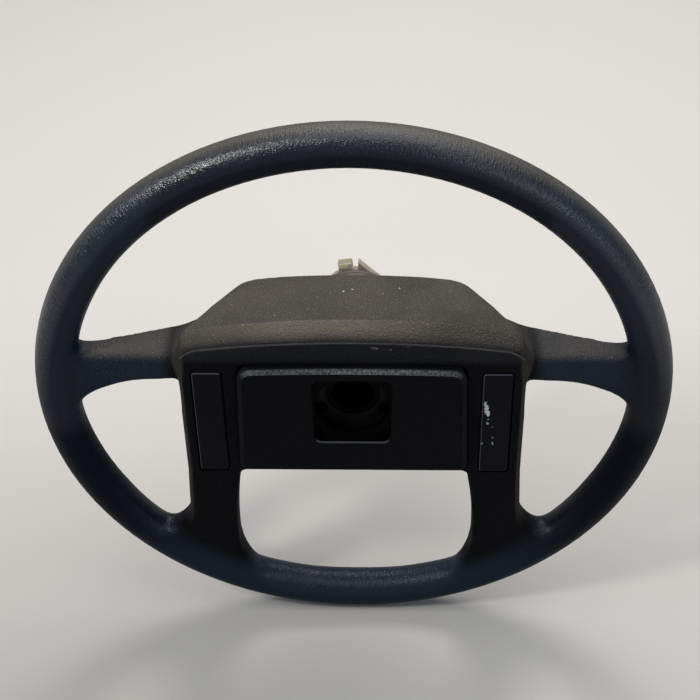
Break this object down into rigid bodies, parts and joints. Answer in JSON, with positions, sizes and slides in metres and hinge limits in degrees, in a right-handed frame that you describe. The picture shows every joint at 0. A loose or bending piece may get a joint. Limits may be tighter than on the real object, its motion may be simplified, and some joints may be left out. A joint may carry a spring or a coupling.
{
  "type": "car steering wheel",
  "caption": "Moulded car steering wheel with a padded hub, upright horn pads beside a recessed centre panel, and a boss and indicator cancelling ring behind.",
  "frame": {"origin": "on the wheel's axis, at the column end of the steel boss", "axes": "+X to the driver's right, +Y along the column away from the driver, +Z to the top of the wheel"},
  "size_m": [0.39, 0.1167, 0.39],
  "materials": {
    "foam_black": "self-skinned polyurethane foam with a fine leather grain",
    "panel_black": "grained plastic",
    "horn_black": "smooth plastic, worn at the edges",
    "tray_black": "moulded plastic",
    "armature_alloy": "as cast",
    "boss_steel": "turned",
    "screw_steel": "zinc plated",
    "contact_brass": "bright",
    "carrier_brown": "moulded plastic",
    "ring_cream": "moulded plastic",
    "lead_red": "insulated wire"
  },
  "bodies": {
    "wheel": {"moulded_cover": "foam_black", "armature": "armature_alloy", "hub_boss": "boss_steel", "centre_pad": "panel_black", "centre_pad_screws": "screw_steel", "contact_carrier": "carrier_brown", "carrier_screws": "screw_steel", "slip_ring": "contact_brass", "cancel_ring": "ring_cream", "horn_tray_left": "tray_black", "horn_tray_right": "tray_black", "horn_tray_screws_left": "screw_steel", "horn_tray_screws_right": "screw_steel", "contact_studs_left": "contact_brass", "contact_studs_right": "contact_brass", "horn_spring_left": "screw_steel", "horn_spring_right": "screw_steel", "horn_lead_left": "lead_red", "horn_lead_right": "lead_red"},
    "horn_left": {"horn_pad_left": "horn_black", "contact_plate_left": "contact_brass"},
    "horn_right": {"horn_pad_right": "horn_black", "contact_plate_right": "contact_brass"}
  },
  "joints": [
    {"name": "horn_press_left", "type": "slide", "parent": "wheel", "child": "horn_left", "axis": [0, 1, 0], "range_m": [0, 0.002], "stiffness_N_per_m": 2000, "springref_m": -0.002, "deforming": ["horn_spring_left"]},
    {"name": "horn_press_right", "type": "slide", "parent": "wheel", "child": "horn_right", "axis": [0, 1, 0], "range_m": [0, 0.002], "stiffness_N_per_m": 2000, "springref_m": -0.002, "deforming": ["horn_spring_right"]}
  ]
}
